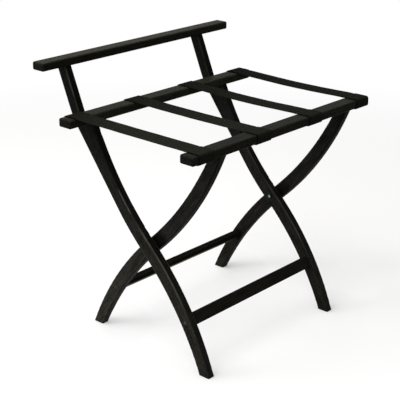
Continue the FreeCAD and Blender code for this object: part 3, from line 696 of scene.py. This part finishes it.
FIBRE_NOISE = (2600.0, 2.0, 0.6)
PATCH_NOISE = (210.0, 4.0, 0.75)
HEIGHT_WEIGHT = 0.32
PATCH_WEIGHT = 0.75
FIBRE_WEIGHT = 0.20
YARN_LEVELS = (0.42, 0.86)
YARN_ROUGHNESS = (0.80, 0.92)
YARN_SPECULAR = 0.01
YARN_SHEEN = 0.004
YARN_SHEEN_ROUGHNESS = 0.5
FIBRE_RELIEF = (0.00008, 0.35)
WEAVE_RELIEF = (0.00035, 0.7)

SELVEDGE_INSET = 0.0018
SELVEDGE_CORE = 0.00072
RAIL_EDGE_BLUR = 0.004
SELVEDGE_FACING = (0.30, 0.85)

# Painted shade on the straps, by place and by facing.
WEBBING_SHADE_SPAN_X = (-0.26, 0.28)
WEBBING_SHADE_SPAN_Y = (-0.06, 0.13)
WEBBING_SHADE_SHARES_X = (1.0, 0.55)
WEBBING_SHADE_SHARES_Y = (1.0, 0.62)
WRAP_SHADE_SHARES = (0.70, 1.15)
WRAP_FACING = (-0.85, -0.30)


def shaded_selvedge(graph, surface, across):
    """1 along a strap's two edges where it lies on a rail: painted shade of the gap under them."""
    along = graph.math("ABSOLUTE", graph.math("SUBTRACT", surface.y, SPAN_MIDDLE_Y))
    on_rail = graph.remap(along, SPAN_HALF - RAIL_EDGE_BLUR, SPAN_HALF + RAIL_EDGE_BLUR)
    on_rail = graph.math("MULTIPLY", on_rail, graph.remap(surface.facing_z, *SELVEDGE_FACING))
    from_middle = graph.math("ABSOLUTE", graph.math("SUBTRACT", across, STRAP_WIDTH))
    half = STRAP_WIDTH / 2
    edge = graph.remap(from_middle, half - SELVEDGE_INSET, half - SELVEDGE_CORE)
    return graph.math("MULTIPLY", edge, on_rail)


def webbing_shade(graph, surface, colour):
    """The yarn's colour, painted darker towards the right straps and the rear, as shade falls there.

    On the front rail's face the straps are painted darker still, nearly alike from left to right.
    """
    sideways = graph.remap(surface.x, *WEBBING_SHADE_SPAN_X, *WEBBING_SHADE_SHARES_X)
    endways = graph.remap(surface.y, *WEBBING_SHADE_SPAN_Y, *WEBBING_SHADE_SHARES_Y)
    wrap_share = graph.remap(surface.x, *WEBBING_SHADE_SPAN_X, *WRAP_SHADE_SHARES)
    wrapped = graph.remap(surface.facing_y, *WRAP_FACING, wrap_share, 1.0)
    share = graph.math("MULTIPLY", graph.math("MULTIPLY", sideways, endways), wrapped)
    return graph.scale(colour, share)


def weave_height(graph, layout):
    """The relief of the weave: warp columns that pass over and under in turn."""
    across = graph.math("DIVIDE", layout["X"], WARP_PITCH)
    along = graph.math("DIVIDE", layout["Y"], PICK_PITCH)
    every_other = graph.math("MODULO", graph.math("FLOOR", across), 2.0)
    shift = graph.math("MULTIPLY", every_other, 0.5)
    warp = graph.math("ABSOLUTE", graph.math("SINE", graph.math("MULTIPLY", across, math.pi)))
    phase = graph.math("MULTIPLY", graph.math("ADD", along, shift), math.pi)
    over = graph.math("ABSOLUTE", graph.math("SINE", phase))
    loops = graph.math("MULTIPLY_ADD", over, LOOP_DEPTH, 1.0 - LOOP_DEPTH)
    return graph.math("MULTIPLY", graph.math("POWER", warp, WARP_ROUNDING), loops)


def webbing():
    """Flat woven webbing with dull fibres, laid out by the straps' own weave coordinates."""
    material, graph, surface = new_material("webbing_weave")
    weave = graph.add("ShaderNodeUVMap", uv_map="weave").outputs["UV"]
    layout = graph.split(weave)
    height = weave_height(graph, layout)
    fibre = graph.noise(weave, *FIBRE_NOISE)
    patch = graph.noise(weave, *PATCH_NOISE)

    tone = graph.math("MULTIPLY", patch, PATCH_WEIGHT)
    tone = graph.math("MULTIPLY_ADD", height, HEIGHT_WEIGHT, tone)
    tone = graph.math("MULTIPLY_ADD", fibre, FIBRE_WEIGHT, tone)
    colour = graph.ramp(tone, list(zip(YARN_LEVELS, (YARN_DARK, YARN_LIGHT))))
    colour = webbing_shade(graph, surface, colour)
    # Painted shade along the edges.
    colour = graph.mix(shaded_selvedge(graph, surface, layout["X"]), colour, SELVEDGE_SHADE_TONE)

    shader = graph.shader()
    graph.join(colour, shader.inputs["Base Color"])
    graph.join(graph.remap(patch, *NOISE_MIDDLE, *YARN_ROUGHNESS), shader.inputs["Roughness"])
    shader.inputs["Specular IOR Level"].default_value = YARN_SPECULAR
    shader.inputs["Sheen Weight"].default_value = YARN_SHEEN
    shader.inputs["Sheen Roughness"].default_value = YARN_SHEEN_ROUGHNESS
    rough_yarn = graph.bump(fibre, *FIBRE_RELIEF)
    graph.join(graph.bump(height, *WEAVE_RELIEF, rough_yarn), shader.inputs["Normal"])
    return material


# ---------------------------------------------------------------- the shape of a strap

PATH_STEP = 0.0018
CORNER_STEPS = 8
ACROSS_STEPS = 26
ACROSS_CROWDING = 0.55
LEVEL_SLACK = 0.002

EDGE_CURL = 0.0009
CURL_START = 0.0025
CURL_REACH = 0.0060
EDGE_BEND = 0.0006
BEND_PLACE = 0.0010
BEND_REACH = 0.0035

TACK_DENT = 0.00025
TACK_DENT_RADIUS = 0.0045
TAIL_BULGE = 0.0009
TAIL_BULGE_REACH = 0.0045

SELVEDGE_ROUNDING = 0.0007
BEAD_HEIGHT = 0.00010
BEAD_INSET = 0.0011
BEAD_REACH = 0.0007

# The band's slight wavers to the sides: reach, radians per metre, and radians per strap number.
WAVERS = ((0.00018, 61.0, 1.9), (0.00012, 143.0, 4.3))


def bell(distance, reach, power=2):
    """1 at distance 0, falling off smoothly past the reach."""
    return math.exp(-((distance / reach) ** power))


def arc_points(centre_y, centre_z, start, turn):
    """The points between the ends of a corner of the path."""
    points = []
    for step in range(1, CORNER_STEPS):
        angle = start + turn * step / CORNER_STEPS
        y = centre_y + CORNER_RADIUS * math.cos(angle)
        z = centre_z + CORNER_RADIUS * math.sin(angle)
        points.append((y, z))
    return points


def run_points(first, last):
    """The points of a straight stretch of the path, with both its ends."""
    length = math.dist(first, last)
    count = max(2, round(length / PATH_STEP))
    points = []
    for step in range(count + 1):
        share = step / count
        y = first[0] + (last[0] - first[0]) * share
        z = first[1] + (last[1] - first[1]) * share
        points.append((y, z))
    return points


def strap_path():
    """The middle line of a strap, from its front tail round both rails to its rear tail."""
    radius = CORNER_RADIUS
    quarter = math.pi / 2
    path = run_points((FRONT_TAIL_Y, UNDER_Z), (FRONT_Y + radius, UNDER_Z))
    path += arc_points(FRONT_Y + radius, UNDER_Z + radius, -quarter, -quarter)
    path += run_points((FRONT_Y, UNDER_Z + radius), (FRONT_Y, TOP_Z - radius))
    path += arc_points(FRONT_Y + radius, TOP_Z - radius, math.pi, -quarter)
    path += run_points((FRONT_Y + radius, TOP_Z), (REAR_Y - radius, TOP_Z))
    path += arc_points(REAR_Y - radius, TOP_Z - radius, quarter, -quarter)
    path += run_points((REAR_Y, TOP_Z - radius), (REAR_Y, UNDER_Z + radius))
    path += arc_points(REAR_Y - radius, UNDER_Z + radius, 0.0, -quarter)
    path += run_points((REAR_Y - radius, UNDER_Z), (REAR_TAIL_Y, UNDER_Z))
    return path


def path_frames(path):
    """Each point of the path with its outward direction and its distance from the front tail."""
    frames = []
    travelled = 0.0
    for index, (y, z) in enumerate(path):
        before = path[max(index - 1, 0)]
        after = path[min(index + 1, len(path) - 1)]
        along_y = after[0] - before[0]
        along_z = after[1] - before[1]
        length = math.hypot(along_y, along_z)
        if index:
            travelled += math.dist(path[index - 1], (y, z))
        frames.append((y, z, -along_z / length, along_y / length, travelled))
    return frames


def on_deck(z):
    return z > TOP_Z - LEVEL_SLACK


def under_rail(z):
    return z < UNDER_Z + LEVEL_SLACK


def sag_share(y):
    """1 in the middle of the free span and 0 on the rails, with no crease between them."""
    place = (y - SPAN_MIDDLE_Y) / SPAN_HALF
    if abs(place) >= 1.0:
        return 0.0
    return (1.0 - place * place) ** 1.5


def curl_share(y):
    """1 in the free span and 0 on the rails: the selvedges curl down past the rails' round edges."""
    from_front = y - (FRONT_RAIL_BACK_Y - CURL_START)
    from_rear = (REAR_RAIL_FRONT_Y + CURL_START) - y
    place = min(max(min(from_front, from_rear) / CURL_REACH, 0.0), 1.0)
    return place * place * (3.0 - 2.0 * place)


def selvedge_curl(y, z):
    """How far the selvedges hang: a little more just past each rail, where they bend over it."""
    if not on_deck(z):
        return 0.0
    from_front = abs(y - FRONT_RAIL_BACK_Y - BEND_PLACE)
    from_rear = abs(y - REAR_RAIL_FRONT_Y + BEND_PLACE)
    bend = EDGE_BEND * bell(min(from_front, from_rear), BEND_REACH)
    return EDGE_CURL * curl_share(y) + bend


def tack_dent(offset_x, y, z):
    """How far a tack's head presses the tail towards the rail."""
    if not under_rail(z):
        return 0.0
    deepest = 0.0
    for tack_y in (FRONT_TACK_Y, REAR_TACK_Y):
        for tack_x in (-TACK_OFFSET_X, TACK_OFFSET_X):
            distance = math.hypot(offset_x - tack_x, y - tack_y)
            deepest = max(deepest, bell(distance, TACK_DENT_RADIUS, 4))
    return TACK_DENT * deepest


def tail_bulge(y, z):
    """How far the band hangs away from the rail between its lower corner and its tacks."""
    if not under_rail(z):
        return 0.0
    middle_front = (FRONT_Y + CORNER_RADIUS + FRONT_TACK_Y) / 2
    middle_rear = (REAR_Y - CORNER_RADIUS + REAR_TACK_Y) / 2
    away = min(abs(y - middle_front), abs(y - middle_rear))
    return TAIL_BULGE * bell(away, TAIL_BULGE_REACH)


def band_section():
    """Places across the band, closer near its edges, each with the band's half thickness there.

    The band is full in the middle, rounded at both edges, and has a soft bead along each selvedge.
    """
    section = []
    for step in range(ACROSS_STEPS + 1):
        crowded = -math.cos(math.pi * step / ACROSS_STEPS)
        even = 2.0 * step / ACROSS_STEPS - 1.0
        across = ACROSS_CROWDING * crowded + (1.0 - ACROSS_CROWDING) * even
        inset = (1.0 - abs(across)) * STRAP_WIDTH / 2
        rounding = min(inset / SELVEDGE_ROUNDING, 1.0)
        half = BAND_HALF * math.sqrt(max(0.0, 1.0 - (1.0 - rounding) ** 2))
        bead = BEAD_HEIGHT * bell(inset - BEAD_INSET, BEAD_REACH)
        section.append((across * STRAP_WIDTH / 2, half + bead))
    return section


def strap_ring(number, centre_x, sag, frame_of_path):
    """The points round the band at one place of its path, each with its weave coordinates."""
    y, z, out_y, out_z, travelled = frame_of_path
    drop = sag * sag_share(y) if on_deck(z) else 0.0
    waver = 0.0
    for reach, pitch, per_strap in WAVERS:
        waver += reach * math.sin(travelled * pitch + number * per_strap)
    outer = []
    inner = []
    for offset, half in band_section():
        across = offset / (STRAP_WIDTH / 2)
        curl = selvedge_curl(y, z) * across * across
        away = tail_bulge(y, z) - tack_dent(offset, y, z)
        middle_y = y + out_y * away
        middle_z = z + out_z * away - drop - curl
        x = centre_x + offset + waver
        weave = (offset + STRAP_WIDTH, travelled + number)
        outer.append(((x, middle_y + out_y * half, middle_z + out_z * half), weave))
        inner.append(((x, middle_y - out_y * half, middle_z - out_z * half), weave))
    return outer + inner[-2:0:-1]


def add_face(shape, corners, smooth):
    """A face between corners, each a vertex with its weave coordinates."""
    layer = shape.loops.layers.uv["weave"]
    face = shape.faces.new([vertex for vertex, _ in corners])
    face.smooth = smooth
    for loop, (_, weave) in zip(face.loops, corners):
        loop[layer].uv = weave


def strap_mesh(number, centre_x, sag):
    """A closed band: a skin of faces from ring to ring, and a face on each end."""
    mesh = bpy.data.meshes.new(f"strap_{number}")
    shape = bmesh.new()
    shape.loops.layers.uv.new("weave")
    rings = []
    for frame_of_path in path_frames(strap_path()):
        ring = strap_ring(number, centre_x, sag, frame_of_path)
        rings.append([(shape.verts.new(point), weave) for point, weave in ring])
    for ring, next_ring in zip(rings, rings[1:]):
        for step in range(len(ring)):
            following = (step + 1) % len(ring)
            corners = (ring[step], ring[following], next_ring[following], next_ring[step])
            add_face(shape, corners, smooth=True)
    for ring in (rings[0], rings[-1]):
        add_face(shape, ring, smooth=False)
    bmesh.ops.recalc_face_normals(shape, faces=shape.faces)
    shape.to_mesh(mesh)
    shape.free()
    return mesh


def make_strap(number, centre_x, sag, material):
    """One webbing strap, stretched between both frames' seat rails."""
    mesh = strap_mesh(number, centre_x, sag)
    mesh.materials.append(material)
    strap = bpy.data.objects.new(f"strap_{number}", mesh)
    bpy.context.collection.objects.link(strap)
    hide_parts(f"webbing_strap_{number}")
    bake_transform(strap)


# ---------------------------------------------------------------- materials on the CAD nodes


def wood_materials():
    """The materials of the wooden parts, by node."""
    woods = {name: leg_wood(f"wood_{name}", **look) for name, look in LEG_LOOKS.items()}
    for name, look in BOARD_LOOKS.items():
        woods[name] = board_wood(f"wood_{name}", **look)
    for name, look in PLUG_LOOKS.items():
        woods[name] = plug_wood(name, *look)
    return woods


def small_part_materials():
    """The materials of the small parts, by a word that their nodes' names hold."""
    return {
        "dowels": beech_wood("dowel_beech", DOWEL_TONES),
        "bolt": bolt_steel("bolt_black_steel"),
        "screws": metal("screw_zinc_steel", ZINC, ZINC_ROUGHNESS),
        "tacks": metal("tack_blued_steel", BLUED_STEEL, BLUED_ROUGHNESS),
        "insert": metal("insert_brass_alloy", BRASS, BRASS_ROUGHNESS),
        "washer": nylon("washer_dark_nylon", NYLON_TONES),
    }


def material_for(name, woods, small_parts):
    """The material of a node, or None for the plain straps, which woven ones replace."""
    if name in woods:
        return woods[name]
    for word, material in small_parts.items():
        if word in name:
            return material
    return None


def dress_nodes(nodes):
    woods = wood_materials()
    small_parts = small_part_materials()
    for name, node in nodes.items():
        material = material_for(name, woods, small_parts)
        if material is None:
            continue
        if not node.material_slots:
            node.data.materials.append(material)
        for place in node.material_slots:
            place.material = material


# ---------------------------------------------------------------- floor and world

FLOOR_RADIUS = 14.0
FLOOR_SEGMENTS = 96
FLOOR_DROP = 0.0003
FLOOR_COLOUR = (1.0, 0.995, 0.985, 1.0)
FLOOR_BOUNCE_COLOUR = (0.50, 0.50, 0.49, 1.0)

# The glow's share of the floor's look, left and right of the bench and far from it.
GLOW_SPAN_X = (0.22, 0.44)
GLOW_SHARES = (0.66, 0.28)
GLOW_FAR_SHARE = 1.0
GLOW_FADE = (0.75, 2.2)

# The short shadows at the feet, away from the side that the light comes from.
FOOT_LIGHT = (-0.60, 0.55, 0.58)
FOOT_SHADOW_SAMPLES = 12
FOOT_SHADOW_REACH = 0.11
FOOT_SHADOW_OPENNESS = (0.30, 1.0)
FOOT_SHADOW_SPAN_X = (-0.22, 0.44)
FOOT_SHADOW_SHARES = (0.66, 0.50)

WORLD_LIGHT = 0.37
WORLD_SHOWN = 1.0


def shown_ray(graph):
    """1 for a ray that shows the surface: from the camera, or by way of a mirror or glass."""
    path = graph.add("ShaderNodeLightPath")
    seen = graph.math("MAXIMUM", path.outputs["Is Camera Ray"], path.outputs["Is Glossy Ray"])
    return graph.math("MAXIMUM", seen, path.outputs["Is Transmission Ray"])


def light_by_feet(graph, surface):
    """The share of the floor's light that remains: less where a foot stands towards the light."""
    towards = graph.add("ShaderNodeCombineXYZ")
    for axis, value in zip(towards.inputs, FOOT_LIGHT):
        axis.default_value = value
    blocked = graph.add("ShaderNodeAmbientOcclusion", samples=FOOT_SHADOW_SAMPLES)
    blocked.inputs["Distance"].default_value = FOOT_SHADOW_REACH
    graph.join(towards.outputs[0], blocked.inputs["Normal"])
    darkest = graph.remap(surface.x, *FOOT_SHADOW_SPAN_X, *FOOT_SHADOW_SHARES)
    return graph.remap(blocked.outputs["AO"], *FOOT_SHADOW_OPENNESS, darkest, 1.0)


def glow_share(graph, surface):
    """How much of the floor's look is its own glow: all of it far from the bench."""
    near = graph.remap(surface.x, *GLOW_SPAN_X, *GLOW_SHARES)
    length = graph.add("ShaderNodeVectorMath", operation="LENGTH")
    graph.join(surface.place, length.inputs[0])
    reach = graph.remap(length.outputs["Value"], *GLOW_FADE)
    rest = graph.math("SUBTRACT", GLOW_FAR_SHARE, near)
    return graph.math("MULTIPLY_ADD", rest, reach, near)


def floor_material():
    """A pale floor, partly self-lit where it is seen, and plain and dull for all other light."""
    material, graph, surface = new_material("pale_floor")
    remaining = light_by_feet(graph, surface)
    paint = graph.diffuse(graph.mix(remaining, BLACK, FLOOR_COLOUR))
    glow = graph.glow(WHITE, remaining)
    seen = graph.mix_shaders(glow_share(graph, surface), paint, glow)
    dull = graph.diffuse(FLOOR_BOUNCE_COLOUR)
    output = graph.add("ShaderNodeOutputMaterial")
    graph.join(graph.mix_shaders(shown_ray(graph), dull, seen), output.inputs["Surface"])
    return material


def make_floor():
    mesh = bpy.data.meshes.new("floor")
    shape = bmesh.new()
    bmesh.ops.create_circle(shape, cap_ends=True, segments=FLOOR_SEGMENTS, radius=FLOOR_RADIUS)
    shape.to_mesh(mesh)
    shape.free()
    mesh.materials.append(floor_material())
    floor = bpy.data.objects.new("floor", mesh)
    floor.location = (0.0, 0.0, -FLOOR_DROP)
    bpy.context.collection.objects.link(floor)


def make_world():
    """A white world to look at, which lights the scene more weakly than it looks."""
    world = bpy.data.worlds.new("studio")
    world.use_nodes = True
    bpy.context.scene.world = world
    graph = Graph(world.node_tree)
    light = graph.add("ShaderNodeBackground")
    light.inputs["Color"].default_value = WHITE
    strength = graph.remap(shown_ray(graph), 0.0, 1.0, WORLD_LIGHT, WORLD_SHOWN)
    graph.join(strength, light.inputs["Strength"])
    output = graph.add("ShaderNodeOutputWorld")
    graph.join(light.outputs[0], output.inputs["Surface"])


# ---------------------------------------------------------------- lamps and camera

# Each lamp's name, place, the point that it faces, its sides in metres and its power in watts.
LAMPS = (
    ("key_high_left", (-1.25, 0.22, 2.3), (0.0, 0.0, 0.2), (1.4, 1.4), 27.0),
    ("fill_left", (-2.2, 1.7, 0.95), (0.0, 0.0, 0.3), (1.2, 1.2), 46.0),
    ("overhead", (0.1, 0.2, 3.0), (0.0, 0.0, 0.0), (3.4, 3.4), 42.0),
)

# The camera's place and axes, in metres, and its lens and sensor, in millimetres.
CAMERA_PLACE = (-1.78104, -1.57380, 1.20071)
CAMERA_RIGHT = (0.66815, -0.74399, 0.00700)
CAMERA_UP = (0.26295, 0.24493, 0.93320)
CAMERA_BACK = (-0.69601, -0.62168, 0.35928)
CAMERA_LENS = 98.88
SENSOR_WIDTH = 36.0
CAMERA_NEAR = 0.05
CAMERA_FAR = 60.0


def make_lamp(name, place, aim, size, power):
    data = bpy.data.lights.new(name, "AREA")
    data.shape = "RECTANGLE"
    data.size, data.size_y = size
    data.energy = power
    lamp = bpy.data.objects.new(name, data)
    direction = Vector(aim) - Vector(place)
    lamp.rotation_euler = direction.to_track_quat("-Z", "Y").to_euler()
    lamp.location = place
    bpy.context.collection.objects.link(lamp)


def make_camera():
    data = bpy.data.cameras.new("photo_camera")
    data.lens = CAMERA_LENS
    data.sensor_width = SENSOR_WIDTH
    data.sensor_fit = "HORIZONTAL"
    data.clip_start = CAMERA_NEAR
    data.clip_end = CAMERA_FAR
    camera = bpy.data.objects.new("photo_camera", data)
    turn = Matrix((CAMERA_RIGHT, CAMERA_UP, CAMERA_BACK)).transposed()
    camera.matrix_world = Matrix.Translation(CAMERA_PLACE) @ turn.to_4x4()
    bpy.context.collection.objects.link(camera)
    bpy.context.scene.camera = camera


# ---------------------------------------------------------------- the scene


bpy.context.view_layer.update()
bpy.context.scene.view_settings.view_transform = "Standard"

make_camera()
make_world()
for lamp_settings in LAMPS:
    make_lamp(*lamp_settings)
make_floor()
dress_nodes(frame["nodes"])

strap_weave = webbing()
for strap_number, strap_x, strap_sag in zip(STRAP_NUMBERS, STRAP_CENTRES_X, STRAP_SAGS):
    make_strap(strap_number, strap_x, strap_sag, strap_weave)
